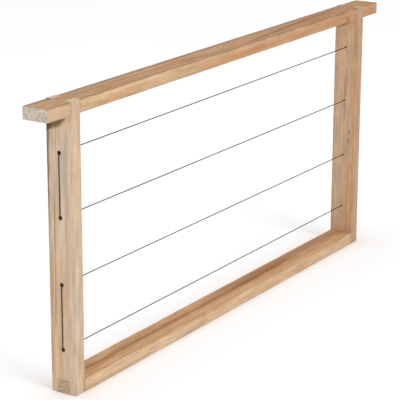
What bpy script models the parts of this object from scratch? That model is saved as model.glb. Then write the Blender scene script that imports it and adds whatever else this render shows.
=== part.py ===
"""Wired wooden hive frame for a moveable-frame beehive.

A top bar with two lugs, two forked side bars and a slotted-in bottom bar, closed by
four hidden nails, and one wire threaded back and forth through both side bars.

Metres. +X runs along the top bar, -Y is the front, +Z is up. The origin is the middle
of the underside, on the plane the frame stands on. Dimensions below are in millimetres
where a name ends in _MM, and everything else is worked out from them.
"""

import math

import bmesh
import bpy
from mathutils import Vector

MM = 0.001

# Overall sizes
TOP_BAR_LENGTH_MM = 477.0
BODY_LENGTH_MM = 426.0  # over the outer faces of the two side bars
HEIGHT_MM = 216.0  # to the top of the top bar
DEPTH_MM = 21.5  # of every bar, front to back

# Bars
TOP_BAR_THICKNESS_MM = 9.5
SIDE_BAR_THICKNESS_MM = 11.0
BOTTOM_BAR_THICKNESS_MM = 10.0
TONGUE_MM = 11.0  # middle part of the bars that the forks of the side bars take
PRONG_PROUD_MM = 0.6  # the prongs stand a little above the top bar
ARRIS_MM = 0.3  # softened long edges
JOINT_GAP_MM = 0.3

# Wire and its holes, heights above the underside, from the top hole down
LEFT_HOLE_HEIGHTS_MM = (179.0, 132.0, 82.5, 33.5)
RIGHT_HOLE_HEIGHTS_MM = (180.5, 132.5, 82.5, 34.5)
WIRE_HOLE_DIAMETER_MM = 2.4
WIRE_DIAMETER_MM = 0.6
WIRE_BEND_RADIUS_MM = 0.9
WIRE_BEND_POINTS = 5

# Nails
WIRE_NAIL_LENGTH_MM = 11.0
WIRE_NAIL_STANDS_OUT_MM = 3.0
WIRE_NAIL_RADIUS_MM = 0.7
WIRE_NAIL_HEAD_RADIUS_MM = 1.7
WIRE_NAIL_FROM_HOLE_MM = 9.0
WIRE_NAIL_TURNS = 1.5
WIRE_NAIL_POINTS_PER_TURN = 10
JOINT_NAIL_LENGTH_MM = 18.0
JOINT_NAIL_RADIUS_MM = 0.6
JOINT_NAIL_HEAD_RADIUS_MM = 1.4
JOINT_NAIL_SET_MM = 0.3  # how far the head is punched below the back face
NAIL_HEAD_THICKNESS_MM = 0.6
NAIL_HEAD_CROWN_SHARE = 0.8  # flat middle of the head, as a share of its radius
NAIL_HEAD_RIM_SHARE = 0.6  # upright part of the head's rim, as a share of its thickness
NAIL_POINT_LENGTH_MM = 1.8
ROUND_SIDES = 16
SHARP_ANGLE_DEGREES = 40.0  # edges of a nail that bend more than this stay crisp

# Edges that the sizes above lead to
BODY_HALF_MM = BODY_LENGTH_MM / 2
DEPTH_HALF_MM = DEPTH_MM / 2
INNER_HALF_MM = BODY_HALF_MM - SIDE_BAR_THICKNESS_MM
SIDE_BAR_MIDDLE_MM = BODY_HALF_MM - SIDE_BAR_THICKNESS_MM / 2
TOP_BAR_UNDERSIDE_MM = HEIGHT_MM - TOP_BAR_THICKNESS_MM
PRONG_TOP_MM = HEIGHT_MM + PRONG_PROUD_MM
TOP_NAIL_HEIGHT_MM = HEIGHT_MM - TOP_BAR_THICKNESS_MM / 2
BOTTOM_NAIL_HEIGHT_MM = BOTTOM_BAR_THICKNESS_MM / 2
OVERCUT_MM = 5.0  # how far a cutter runs past the face it cuts through
WELD_MM = 0.001  # points of one mesh that are closer than this are the same point

PALE_PINE = (0.62, 0.46, 0.31)
WARM_PINE = (0.57, 0.38, 0.22)
DRAWN_STEEL = (0.20, 0.20, 0.21)
DULL_STEEL = (0.33, 0.33, 0.34)
WOOD_ROUGHNESS = 0.6
WIRE_ROUGHNESS = 0.35
NAIL_ROUGHNESS = 0.45


def clear_scene():
    for existing in list(bpy.data.objects):
        bpy.data.objects.remove(existing, do_unlink=True)


def make_material(name, colour, roughness, metallic):
    material = bpy.data.materials.new(name)
    material.use_nodes = True
    shader = material.node_tree.nodes["Principled BSDF"]
    shader.inputs["Base Color"].default_value = (*colour, 1.0)
    shader.inputs["Roughness"].default_value = roughness
    shader.inputs["Metallic"].default_value = metallic
    return material


def add_object(name, data, parent, location_mm=(0.0, 0.0, 0.0)):
    made = bpy.data.objects.new(name, data)
    bpy.context.scene.collection.objects.link(made)
    made.location = Vector(location_mm) * MM
    made.parent = parent
    return made


def box_mesh(name, size_mm):
    mesh = bpy.data.meshes.new(name)
    shape = bmesh.new()
    bmesh.ops.create_cube(shape, size=1.0)
    bmesh.ops.scale(shape, vec=Vector(size_mm) * MM, verts=shape.verts)
    shape.to_mesh(mesh)
    shape.free()
    return mesh


def add_box(name, low_mm, high_mm, parent):
    """A box between two corners, with its origin at its middle."""
    low = Vector(low_mm)
    high = Vector(high_mm)
    return add_object(name, box_mesh(name, high - low), parent, (low + high) / 2)


def add_bar(name, low_mm, high_mm, parent, material):
    """A planed stick with softened arrises."""
    bar = add_box(name, low_mm, high_mm, parent)
    bar.data.materials.append(material)
    arris = bar.modifiers.new("arris", "BEVEL")
    arris.width = ARRIS_MM * MM
    arris.segments = 1
    return bar


def cut(target, cutter):
    """Takes the cutter, a helper that is never part of the frame, out of the target."""
    cutter.hide_render = True
    cutter.display_type = "WIRE"
    boolean = target.modifiers.new("cut " + cutter.name, "BOOLEAN")
    boolean.operation = "DIFFERENCE"
    boolean.object = cutter


def cut_box(target, name, low_mm, high_mm, parent):
    cut(target, add_box(name, low_mm, high_mm, parent))


def cut_round(target, name, radius_mm, start_mm, end_mm, parent):
    """A round hole from one point to another."""
    start = Vector(start_mm)
    end = Vector(end_mm)
    mesh = bpy.data.meshes.new(name)
    shape = bmesh.new()
    bmesh.ops.create_cone(
        shape,
        cap_ends=True,
        segments=ROUND_SIDES,
        radius1=radius_mm * MM,
        radius2=radius_mm * MM,
        depth=(end - start).length * MM,
    )
    shape.to_mesh(mesh)
    shape.free()
    hole = add_object(name, mesh, parent, (start + end) / 2)
    hole.rotation_mode = "QUATERNION"
    hole.rotation_quaternion = (end - start).to_track_quat("Z", "Y")
    cut(target, hole)


def nail_mesh(name, length_mm, radius_mm, head_radius_mm):
    """A turned nail: the head's underside is at the origin and the point is below it."""
    profile_mm = (
        (0.0, NAIL_HEAD_THICKNESS_MM),
        (head_radius_mm * NAIL_HEAD_CROWN_SHARE, NAIL_HEAD_THICKNESS_MM),
        (head_radius_mm, NAIL_HEAD_THICKNESS_MM * NAIL_HEAD_RIM_SHARE),
        (head_radius_mm, 0.0),
        (radius_mm, 0.0),
        (radius_mm, NAIL_POINT_LENGTH_MM - length_mm),
        (0.0, -length_mm),
    )
    mesh = bpy.data.meshes.new(name)
    shape = bmesh.new()
    verts = [shape.verts.new((r * MM, 0.0, z * MM)) for r, z in profile_mm]
    edges = [shape.edges.new(pair) for pair in zip(verts, verts[1:])]
    bmesh.ops.spin(
        shape,
        geom=verts + edges,
        cent=(0.0, 0.0, 0.0),
        axis=(0.0, 0.0, 1.0),
        angle=2 * math.pi,
        steps=ROUND_SIDES,
        use_merge=True,
    )
    bmesh.ops.remove_doubles(shape, verts=shape.verts, dist=WELD_MM * MM)
    bmesh.ops.recalc_face_normals(shape, faces=shape.faces)
    shape.to_mesh(mesh)
    shape.free()
    mesh.shade_smooth()
    mesh.set_sharp_from_angle(angle=math.radians(SHARP_ANGLE_DEGREES))
    return mesh


def add_top_bar(frame, material):
    """The stick that carries the frame. Each side bar's fork grips a narrowed waist in it."""
    bar = add_bar(
        "top_bar",
        (-TOP_BAR_LENGTH_MM / 2, -DEPTH_HALF_MM, TOP_BAR_UNDERSIDE_MM),
        (TOP_BAR_LENGTH_MM / 2, DEPTH_HALF_MM, HEIGHT_MM),
        frame,
        material,
    )
    waist_half = TONGUE_MM / 2 - JOINT_GAP_MM
    for side, sign in (("left", -1), ("right", 1)):
        inner_x = sign * (INNER_HALF_MM - JOINT_GAP_MM)
        outer_x = sign * (BODY_HALF_MM + JOINT_GAP_MM)
        low_x, high_x = sorted((inner_x, outer_x))
        for face, low_y, high_y in (
            ("front", -DEPTH_HALF_MM - OVERCUT_MM, -waist_half),
            ("back", waist_half, DEPTH_HALF_MM + OVERCUT_MM),
        ):
            cut_box(
                bar,
                f"top_{side}_{face}_notch",
                (low_x, low_y, TOP_BAR_UNDERSIDE_MM - OVERCUT_MM),
                (high_x, high_y, HEIGHT_MM + OVERCUT_MM),
                frame,
            )
        # The waist is eased underneath, so that the lug's underside is a face of its own
        cut_box(
            bar,
            f"top_{side}_waist_relief",
            (low_x, -DEPTH_HALF_MM, TOP_BAR_UNDERSIDE_MM - OVERCUT_MM),
            (high_x, DEPTH_HALF_MM, TOP_BAR_UNDERSIDE_MM + JOINT_GAP_MM),
            frame,
        )
        cut_joint_nail_hole(bar, f"top_bar_{side}_nail_hole", sign, TOP_NAIL_HEIGHT_MM, frame)
    return bar


def cut_joint_nail_hole(target, name, sign, height_mm, frame):
    """The shank's hole, in from the back face towards the front."""
    nail_end = DEPTH_HALF_MM - JOINT_NAIL_SET_MM - NAIL_HEAD_THICKNESS_MM - JOINT_NAIL_LENGTH_MM
    cut_round(
        target,
        name,
        JOINT_NAIL_RADIUS_MM + JOINT_GAP_MM,
        (sign * SIDE_BAR_MIDDLE_MM, nail_end - JOINT_GAP_MM, height_mm),
        (sign * SIDE_BAR_MIDDLE_MM, DEPTH_HALF_MM + OVERCUT_MM, height_mm),
        frame,
    )


def cut_joint_nail_head(target, name, sign, height_mm, frame):
    """The shallow seat that lets the head sit below the back face."""
    seat_depth = JOINT_NAIL_SET_MM + NAIL_HEAD_THICKNESS_MM + JOINT_GAP_MM
    cut_round(
        target,
        name,
        JOINT_NAIL_HEAD_RADIUS_MM + JOINT_GAP_MM,
        (sign * SIDE_BAR_MIDDLE_MM, DEPTH_HALF_MM - seat_depth, height_mm),
        (sign * SIDE_BAR_MIDDLE_MM, DEPTH_HALF_MM + OVERCUT_MM, height_mm),
        frame,
    )


def add_side_bar(side, sign, hole_heights_mm, frame, material):
    """An upright with a fork at the top, an open slot at the bottom and four wire holes."""
    low_x, high_x = sorted((sign * INNER_HALF_MM, sign * BODY_HALF_MM))
    bar = add_bar(
        f"side_bar_{side}",
        (low_x, -DEPTH_HALF_MM, 0.0),
        (high_x, DEPTH_HALF_MM, PRONG_TOP_MM),
        frame,
        material,
    )
    past_low_x = low_x - OVERCUT_MM
    past_high_x = high_x + OVERCUT_MM
    cut_box(
        bar,
        f"{side}_fork",
        (past_low_x, -TONGUE_MM / 2, TOP_BAR_UNDERSIDE_MM),
        (past_high_x, TONGUE_MM / 2, PRONG_TOP_MM + OVERCUT_MM),
        frame,
    )
    cut_box(
        bar,
        f"{side}_bottom_slot",
        (past_low_x, -TONGUE_MM / 2, -OVERCUT_MM),
        (past_high_x, TONGUE_MM / 2, BOTTOM_BAR_THICKNESS_MM + JOINT_GAP_MM),
        frame,
    )
    for number, height in enumerate(hole_heights_mm, start=1):
        cut_round(
            bar,
            f"{side}_wire_hole_{number}",
            WIRE_HOLE_DIAMETER_MM / 2,
            (past_low_x, 0.0, height),
            (past_high_x, 0.0, height),
            frame,
        )
    for end, height in (("top", TOP_NAIL_HEIGHT_MM), ("bottom", BOTTOM_NAIL_HEIGHT_MM)):
        cut_joint_nail_hole(bar, f"{side}_{end}_shank_hole", sign, height, frame)
        cut_joint_nail_head(bar, f"{side}_{end}_head_seat", sign, height, frame)
    return bar


def add_bottom_bar(frame, material):
    """The lower stick, with a full-height tenon through the slot of each side bar."""
    bar = add_bar(
        "bottom_bar",
        (-BODY_HALF_MM, -DEPTH_HALF_MM, 0.0),
        (BODY_HALF_MM, DEPTH_HALF_MM, BOTTOM_BAR_THICKNESS_MM),
        frame,
        material,
    )
    tenon_half = TONGUE_MM / 2 - JOINT_GAP_MM
    for side, sign in (("left", -1), ("right", 1)):
        inner_x = sign * (INNER_HALF_MM - JOINT_GAP_MM)
        outer_x = sign * (BODY_HALF_MM + OVERCUT_MM)
        low_x, high_x = sorted((inner_x, outer_x))
        for face, low_y, high_y in (
            ("front", -DEPTH_HALF_MM - OVERCUT_MM, -tenon_half),
            ("back", tenon_half, DEPTH_HALF_MM + OVERCUT_MM),
        ):
            cut_box(
                bar,
                f"bottom_{side}_{face}_shoulder",
                (low_x, low_y, -OVERCUT_MM),
                (high_x, high_y, BOTTOM_BAR_THICKNESS_MM + OVERCUT_MM),
                frame,
            )
        cut_joint_nail_hole(bar, f"bottom_bar_{side}_nail_hole", sign, BOTTOM_NAIL_HEIGHT_MM, frame)
    return bar


def add_joint_nails(frame, material):
    """One nail in each corner, driven from the back through the fork and what it grips."""
    head_underside = DEPTH_HALF_MM - JOINT_NAIL_SET_MM - NAIL_HEAD_THICKNESS_MM
    for end, height in (("top", TOP_NAIL_HEIGHT_MM), ("bottom", BOTTOM_NAIL_HEIGHT_MM)):
        for side, sign in (("left", -1), ("right", 1)):
            name = f"joint_nail_{end}_{side}"
            mesh = nail_mesh(
                name, JOINT_NAIL_LENGTH_MM, JOINT_NAIL_RADIUS_MM, JOINT_NAIL_HEAD_RADIUS_MM
            )
            mesh.materials.append(material)
            place = (sign * SIDE_BAR_MIDDLE_MM, head_underside, height)
            nail = add_object(name, mesh, frame, place)
            nail.rotation_euler = (-math.pi / 2, 0.0, 0.0)


def wire_nail_places():
    """The name and height of each wire nail, above the first hole and below the last one."""
    return (
        ("wire_nail_upper", RIGHT_HOLE_HEIGHTS_MM[0] + WIRE_NAIL_FROM_HOLE_MM),
        ("wire_nail_lower", RIGHT_HOLE_HEIGHTS_MM[-1] - WIRE_NAIL_FROM_HOLE_MM),
    )


def add_wire_nails(side_bar_right, frame, material):
    """Two nails in the right side bar's outer face. The wire's ends are wound round them."""
    head_underside = BODY_HALF_MM + WIRE_NAIL_STANDS_OUT_MM - NAIL_HEAD_THICKNESS_MM
    for name, height in wire_nail_places():
        mesh = nail_mesh(name, WIRE_NAIL_LENGTH_MM, WIRE_NAIL_RADIUS_MM, WIRE_NAIL_HEAD_RADIUS_MM)
        mesh.materials.append(material)
        nail = add_object(name, mesh, frame, (head_underside, 0.0, height))
        nail.rotation_euler = (0.0, math.pi / 2, 0.0)
        cut_round(
            side_bar_right,
            f"{name}_hole",
            WIRE_NAIL_RADIUS_MM + JOINT_GAP_MM,
            (head_underside - WIRE_NAIL_LENGTH_MM - JOINT_GAP_MM, 0.0, height),
            (BODY_HALF_MM + OVERCUT_MM, 0.0, height),
            frame,
        )


def bend(corner_mm, from_mm, to_mm):
    """Points of the round bend that the wire makes at a corner between two other points."""
    corner = Vector(corner_mm)
    back = (Vector(from_mm) - corner).normalized()
    on = (Vector(to_mm) - corner).normalized()
    half_angle = back.angle(on) / 2
    run = WIRE_BEND_RADIUS_MM / math.tan(half_angle)
    centre = corner + (back + on).normalized() * (WIRE_BEND_RADIUS_MM / math.sin(half_angle))
    start = corner + back * run - centre
    end = corner + on * run - centre
    points = []
    for step in range(WIRE_BEND_POINTS):
        share = step / (WIRE_BEND_POINTS - 1)
        points.append(centre + start.slerp(end, share))
    return points


def wound_end(nail_height_mm, turn_sign, innermost_x_mm):
    """Turns of wire round a wire nail, from its head side in to the face of the bar."""
    radius = WIRE_NAIL_RADIUS_MM + WIRE_DIAMETER_MM / 2 + JOINT_GAP_MM
    pitch = WIRE_DIAMETER_MM + JOINT_GAP_MM
    steps = int(WIRE_NAIL_TURNS * WIRE_NAIL_POINTS_PER_TURN)
    points = []
    for step in range(steps, -1, -1):
        turned = 2 * math.pi * step / WIRE_NAIL_POINTS_PER_TURN
        lift = pitch * step / WIRE_NAIL_POINTS_PER_TURN
        across = radius * math.cos(turned)
        height = nail_height_mm + turn_sign * radius * math.sin(turned)
        points.append(Vector((innermost_x_mm + lift, across, height)))
    return points


def wire_route():
    """The wire's centre line, from the upper wire nail through every hole to the lower one."""
    outside = BODY_HALF_MM + JOINT_GAP_MM + WIRE_DIAMETER_MM / 2
    left = [Vector((-outside, 0.0, height)) for height in LEFT_HOLE_HEIGHTS_MM]
    right = [Vector((outside, 0.0, height)) for height in RIGHT_HOLE_HEIGHTS_MM]
    corners = [right[0], left[0], left[1], right[1], right[2], left[2], left[3], right[3]]
    (_, upper_height), (_, lower_height) = wire_nail_places()
    first_turns = wound_end(upper_height, 1, outside)
    last_turns = wound_end(lower_height, -1, outside)
    last_turns.reverse()
    route = list(first_turns)
    stops = [first_turns[-1]] + corners + [last_turns[0]]
    for before, corner, after in zip(stops, stops[1:], stops[2:]):
        route += bend(corner, before, after)
    return route + last_turns


def add_wire(frame, material):
    """One unbroken wire, a round tube along its whole route."""
    route = wire_route()
    curve = bpy.data.curves.new("frame_wire", "CURVE")
    curve.dimensions = "3D"
    curve.bevel_depth = WIRE_DIAMETER_MM / 2 * MM
    curve.bevel_resolution = 2
    curve.use_fill_caps = True
    curve.materials.append(material)
    spline = curve.splines.new("POLY")
    spline.points.add(len(route) - 1)
    for point, place in zip(spline.points, route):
        point.co = (*(place * MM), 1.0)
    spline.use_smooth = True
    return add_object("frame_wire", curve, frame)


def build_frame():
    clear_scene()
    frame = add_object("hive_frame", None, None)
    top_wood = make_material("top_bar_wood", WARM_PINE, WOOD_ROUGHNESS, 0.0)
    side_wood = make_material("side_bar_wood", PALE_PINE, WOOD_ROUGHNESS, 0.0)
    bottom_wood = make_material("bottom_bar_wood", WARM_PINE, WOOD_ROUGHNESS, 0.0)
    wire_steel = make_material("wire_steel", DRAWN_STEEL, WIRE_ROUGHNESS, 1.0)
    nail_steel = make_material("nail_steel", DULL_STEEL, NAIL_ROUGHNESS, 1.0)
    add_top_bar(frame, top_wood)
    add_side_bar("left", -1, LEFT_HOLE_HEIGHTS_MM, frame, side_wood)
    side_bar_right = add_side_bar("right", 1, RIGHT_HOLE_HEIGHTS_MM, frame, side_wood)
    add_bottom_bar(frame, bottom_wood)
    add_joint_nails(frame, nail_steel)
    add_wire_nails(side_bar_right, frame, nail_steel)
    add_wire(frame, wire_steel)


build_frame()
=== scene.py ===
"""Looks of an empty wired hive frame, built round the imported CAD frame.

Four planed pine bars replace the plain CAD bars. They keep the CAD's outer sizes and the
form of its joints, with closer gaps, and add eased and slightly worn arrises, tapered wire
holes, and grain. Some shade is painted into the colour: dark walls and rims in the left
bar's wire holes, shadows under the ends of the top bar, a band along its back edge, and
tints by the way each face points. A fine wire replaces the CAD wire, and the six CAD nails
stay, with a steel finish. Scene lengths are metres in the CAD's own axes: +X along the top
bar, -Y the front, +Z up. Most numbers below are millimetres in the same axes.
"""

import math
from typing import NamedTuple

import bmesh
import bpy
import numpy as np
from mathutils import Matrix, Vector, noise


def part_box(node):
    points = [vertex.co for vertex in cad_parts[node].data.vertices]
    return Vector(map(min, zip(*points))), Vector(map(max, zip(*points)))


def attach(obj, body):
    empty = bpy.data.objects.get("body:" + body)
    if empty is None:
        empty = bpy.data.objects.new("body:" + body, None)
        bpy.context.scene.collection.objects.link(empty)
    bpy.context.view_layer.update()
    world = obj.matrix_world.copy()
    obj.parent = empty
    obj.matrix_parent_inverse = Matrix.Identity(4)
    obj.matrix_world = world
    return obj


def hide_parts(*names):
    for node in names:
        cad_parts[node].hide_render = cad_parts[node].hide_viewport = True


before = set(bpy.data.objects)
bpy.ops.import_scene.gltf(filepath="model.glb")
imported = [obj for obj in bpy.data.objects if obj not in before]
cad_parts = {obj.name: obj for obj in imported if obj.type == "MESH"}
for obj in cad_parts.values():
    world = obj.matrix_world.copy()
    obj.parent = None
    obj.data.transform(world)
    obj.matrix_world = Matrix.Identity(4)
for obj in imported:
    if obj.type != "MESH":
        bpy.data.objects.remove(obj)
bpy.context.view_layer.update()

MM = 0.001
X, Y, Z = 0, 1, 2

UP = (0.0, 0.0, 1.0)
FRONT = (0.0, -1.0, 0.0)
TO_LEFT = (-1.0, 0.0, 0.0)

# Joints, holes and nails of the CAD source, in millimetres
TONGUE = 11.0  # width of the top bar's tongue and the bottom bar's tenon
GAP = 0.3  # room round each nail
HOLE_RADIUS = 1.2
LEFT_HOLES = (179.0, 132.0, 82.5, 33.5)
RIGHT_HOLES = (180.5, 132.5, 82.5, 34.5)
JOINT_NAIL_RADIUS = 0.6
JOINT_NAIL_HEAD_RADIUS = 1.4
JOINT_NAIL_HEAD_DEPTH = 0.9
JOINT_NAIL_LENGTH = 18.0
WIRE_NAIL_RADIUS = 0.7
WIRE_NAIL_IN_WOOD = 8.6
WIRE_NAIL_FROM_HOLE = 9.0

# What is drawn otherwise than in the CAD, in millimetres
FIT = 0.1  # gap in the wood joints
INNER_HOLE_RADIUS = 0.8  # a wire hole's narrow end, on the bar's inner face
NARROW_HOLE_RUN = 4.0  # how far in from the inner face it stays narrow
HOLE_OVERRUN = 1.0  # how far outside the inner face its cutter starts
COUNTERSINK_HALF_DEPTH = 0.5
COUNTERSINK_FLARE = 0.7
WIRE_RADIUS = 0.36
WIRE_CLEARANCE = 0.05  # between the wire and the wood or a nail

OVERCUT = 5.0  # how far a cutter runs past the wood, in millimetres


def box_mm(node):
    """Lowest and highest corner of a CAD node, in millimetres."""
    low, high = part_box(node)
    return np.array(low) / MM, np.array(high) / MM


TOP_LOW, TOP_HIGH = box_mm("top_bar")
LEFT_LOW, LEFT_HIGH = box_mm("side_bar_left")
RIGHT_LOW, RIGHT_HIGH = box_mm("side_bar_right")
BOTTOM_LOW, BOTTOM_HIGH = box_mm("bottom_bar")
HALF_DEPTH = TOP_HIGH[Y]
UNDERSIDE = TOP_LOW[Z]
TOP_FACE = TOP_HIGH[Z]
INNER = RIGHT_LOW[X]
OUTER = RIGHT_HIGH[X]
BOTTOM_TOP = BOTTOM_HIGH[Z]
SIDE_MIDDLE = (INNER + OUTER) / 2
TOP_JOINT_HEIGHT = (UNDERSIDE + TOP_FACE) / 2
BOTTOM_JOINT_HEIGHT = BOTTOM_TOP / 2


# ---------------------------------------------------------------- camera, light and floor

# Focal length for an image of this width, the camera's place and farthest distance in
# metres, and its angles in degrees
FOCAL_PIXELS = 1717.9
IMAGE_PIXELS = 400
SENSOR_MM = 36.0
CAMERA_PLACE = (-1.11735, -0.69982, 0.49223)
CAMERA_YAW = 57.139
CAMERA_PITCH = -16.927
CAMERA_ROLL = 0.178
CAMERA_REACH = 50.0

WORLD_STRENGTH = 0.60
LIGHTS_AIM = (0.0, 0.0, 0.11)
STUDIO_LIGHTS = (  # name, place, size in metres and power in watts
    ("key", (-1.2, -5.6, 3.2), 3.0, 135.0),
    ("overhead", (-0.3, 0.3, 5.2), 4.5, 120.0),
)

FLOOR_HALF_WIDTH = 12.0  # metres
FLOOR_MOTTLE_SCALE = 3.0
FLOOR_STOPS = ((0.3, (0.95, 0.95, 0.95)), (0.7, (0.965, 0.965, 0.965)))
FLOOR_ROUGHNESS = 0.9


def add_camera():
    """The one camera. Yaw turns from +Y towards +X, and a negative pitch looks down."""
    yaw, pitch, roll = (math.radians(a) for a in (CAMERA_YAW, CAMERA_PITCH, CAMERA_ROLL))
    flat = math.cos(pitch)
    ahead = Vector((math.sin(yaw) * flat, math.cos(yaw) * flat, math.sin(pitch)))
    level = Vector((math.cos(yaw), -math.sin(yaw), 0.0))
    upright = level.cross(ahead)
    right = level * math.cos(roll) + upright * math.sin(roll)
    up = upright * math.cos(roll) - level * math.sin(roll)
    data = bpy.data.cameras.new("camera")
    data.sensor_width = SENSOR_MM
    data.lens = FOCAL_PIXELS * SENSOR_MM / IMAGE_PIXELS
    data.clip_end = CAMERA_REACH
    camera = bpy.data.objects.new("camera", data)
    turned = Matrix((right, up, -ahead)).transposed().to_4x4()
    camera.matrix_world = Matrix.Translation(CAMERA_PLACE) @ turned
    bpy.context.scene.collection.objects.link(camera)
    bpy.context.scene.camera = camera


def add_area_light(name, place, aim, size, power):
    data = bpy.data.lights.new(name, "AREA")
    data.shape = "SQUARE"
    data.size = size
    data.energy = power
    light = bpy.data.objects.new(name, data)
    light.location = place
    light.rotation_euler = (Vector(aim) - Vector(place)).to_track_quat("-Z", "Y").to_euler()
    bpy.context.scene.collection.objects.link(light)


def add_studio():
    world = bpy.data.worlds.new("studio")
    bpy.context.scene.world = world
    world.use_nodes = True
    backdrop = world.node_tree.nodes["Background"]
    backdrop.inputs["Color"].default_value = (1.0, 1.0, 1.0, 1.0)
    backdrop.inputs["Strength"].default_value = WORLD_STRENGTH
    bpy.context.scene.view_settings.view_transform = "Standard"
    for name, place, size, power in STUDIO_LIGHTS:
        add_area_light(name, place, LIGHTS_AIM, size, power)


def add_floor():
    mesh = bpy.data.meshes.new("floor")
    shape = bmesh.new()
    bmesh.ops.create_grid(shape, x_segments=2, y_segments=2, size=FLOOR_HALF_WIDTH)
    shape.to_mesh(mesh)
    shape.free()
    floor = bpy.data.objects.new("floor", mesh)
    bpy.context.scene.collection.objects.link(floor)
    graph = Graph("floor_paint")
    mottle = graph.noise(graph.coordinates(1.0), FLOOR_MOTTLE_SCALE, 2.0)
    graph.finish(graph.ramp(mottle, FLOOR_STOPS), FLOOR_ROUGHNESS, specular=0.0)
    mesh.materials.append(graph.material)


# ---------------------------------------------------------------- shader graphs

FACING_RANGE = (0.55, 0.85)  # cosines between which a face counts more and more


def srgb(red, green, blue):
    """A linear colour from the usual 0 to 255 numbers."""
    return tuple(
        (v / 255 / 12.92) if v / 255 <= 0.04045 else ((v / 255 + 0.055) / 1.055) ** 2.4
        for v in (red, green, blue)
    )


class Graph:
    """A material's node tree, with short calls for the nodes that it needs."""

    def __init__(self, name):
        self.material = bpy.data.materials.new(name)
        self.material.use_nodes = True
        self.tree = self.material.node_tree
        self.tree.nodes.clear()

    def make(self, kind, inputs=(), **settings):
        node = self.tree.nodes.new(kind)
        for key, value in settings.items():
            setattr(node, key, value)
        for key, value in dict(inputs).items():
            self.feed(node.inputs[key], value)
        return node

    def feed(self, socket, value):
        if isinstance(value, bpy.types.NodeSocket):
            self.tree.links.new(value, socket)
        elif socket.type == "RGBA":
            socket.default_value = (*value, 1.0)
        else:
            socket.default_value = value

    def math(self, operation, a, b=0.0, c=0.0, clamp=False):
        inputs = {0: a, 1: b, 2: c}
        node = self.make("ShaderNodeMath", inputs, operation=operation, use_clamp=clamp)
        return node.outputs[0]

    def product(self, first, *others):
        for other in others:
            first = self.math("MULTIPLY", first, other)
        return first

    def hypotenuse(self, a, b):
        square = self.math("MULTIPLY_ADD", a, a, self.math("MULTIPLY", b, b))
        return self.math("SQRT", square)

    def tint(self, colour, tone):
        """The colour multiplied by a tone, which is a fixed colour or a shade socket."""
        if isinstance(tone, bpy.types.NodeSocket):
            tone = self.join(tone, tone, tone)
        return self.mix(1.0, colour, tone, "MULTIPLY")

    def coordinates(self, scale):
        """Object coordinates, scaled."""
        place = self.make("ShaderNodeTexCoord").outputs["Object"]
        node = self.make("ShaderNodeVectorMath", {0: place}, operation="SCALE")
        node.inputs["Scale"].default_value = scale
        return node.outputs[0]

    def split(self, vector):
        return tuple(self.make("ShaderNodeSeparateXYZ", {0: vector}).outputs)

    def join(self, x, y, z):
        return self.make("ShaderNodeCombineXYZ", {0: x, 1: y, 2: z}).outputs[0]

    def times(self, vector, factors):
        node = self.make("ShaderNodeVectorMath", {0: vector, 1: factors}, operation="MULTIPLY")
        return node.outputs[0]

    def shifted(self, vector, offset):
        node = self.make("ShaderNodeVectorMath", {0: vector, 1: offset}, operation="ADD")
        return node.outputs[0]

    def noise(self, vector, scale, detail, roughness=0.5):
        inputs = {"Vector": vector, "Scale": scale, "Detail": detail, "Roughness": roughness}
        return self.make("ShaderNodeTexNoise", inputs).outputs[0]

    def step(self, value, low, high, to_low=0.0, to_high=1.0):
        """A smooth rise or fall from to_low to to_high as the value goes from low to high."""
        inputs = {0: value, 1: low, 2: high, 3: to_low, 4: to_high}
        node = self.make("ShaderNodeMapRange", inputs, interpolation_type="SMOOTHSTEP")
        return node.outputs[0]

    def ramp(self, value, stops):
        node = self.make("ShaderNodeValToRGB", {0: value})
        elements = node.color_ramp.elements
        while len(elements) < len(stops):
            elements.new(0.5)
        for element, (place, colour) in zip(elements, stops):
            element.position = place
            element.color = (*colour, 1.0)
        return node.outputs[0]

    def mix(self, factor, a, b, blend="MIX"):
        node = self.make("ShaderNodeMix", data_type="RGBA", blend_type=blend)
        self.feed(node.inputs[0], factor)
        self.feed(node.inputs[6], a)
        self.feed(node.inputs[7], b)
        return node.outputs[2]

    def facing(self, direction):
        """1 on faces that point along the direction, 0 on the others."""
        normal = self.make("ShaderNodeTexCoord").outputs["Normal"]
        inputs = {0: normal, 1: direction}
        node = self.make("ShaderNodeVectorMath", inputs, operation="DOT_PRODUCT")
        return self.step(node.outputs["Value"], *FACING_RANGE)

    def finish(self, colour, roughness, metallic=0.0, specular=0.5, height=None, depth=0.0):
        shader = self.make("ShaderNodeBsdfPrincipled")
        self.feed(shader.inputs["Base Color"], colour)
        self.feed(shader.inputs["Roughness"], roughness)
        self.feed(shader.inputs["Metallic"], metallic)
        shader.inputs["Specular IOR Level"].default_value = specular
        if height is not None:
            bump = self.make("ShaderNodeBump", {"Height": height, "Distance": depth})
            self.tree.links.new(bump.outputs[0], shader.inputs["Normal"])
        out = self.make("ShaderNodeOutputMaterial")
        self.tree.links.new(shader.outputs[0], out.inputs[0])
        return self.material


# ---------------------------------------------------------------- pine

# Rings: how far bends in the grain push them, in millimetres, and where in a year the
# dark latewood rises and falls
SLOW_BEND = 22.0
QUICK_BEND = 4.5
LATEWOOD_RISE = (0.20, 0.92)
LATEWOOD_FALL = (0.92, 1.0)
WEAKEST_YEAR = 0.15

# Strength of each layer of colour
LATEWOOD_STRENGTH = 0.52
WARM_STRENGTH = 0.60
PALE_STRENGTH = 0.55
SAWN_STRENGTH = 0.78

# Darkest and lightest shade that each layer of detail multiplies the colour by
BLOTCH_SHADES = (0.87, 1.11)
FIBRE_SHADES = (0.88, 1.10)
STRAND_SHADES = (0.91, 1.08)
CANAL_SHADE = 0.74
MOTTLE_SHADES = (0.80, 1.16)
PORE_SHADES = (0.86, 1.10)

# Arrises: millimetres from the edge, and the strength of the rubbed and the dirty parts
ARRIS_BAND = (0.3, 1.5)
RUBBED_STRENGTH = 0.3
GRIME_STRENGTH = (0.55, 0.12)
GRIME = (0.52, 0.47, 0.43)

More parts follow.
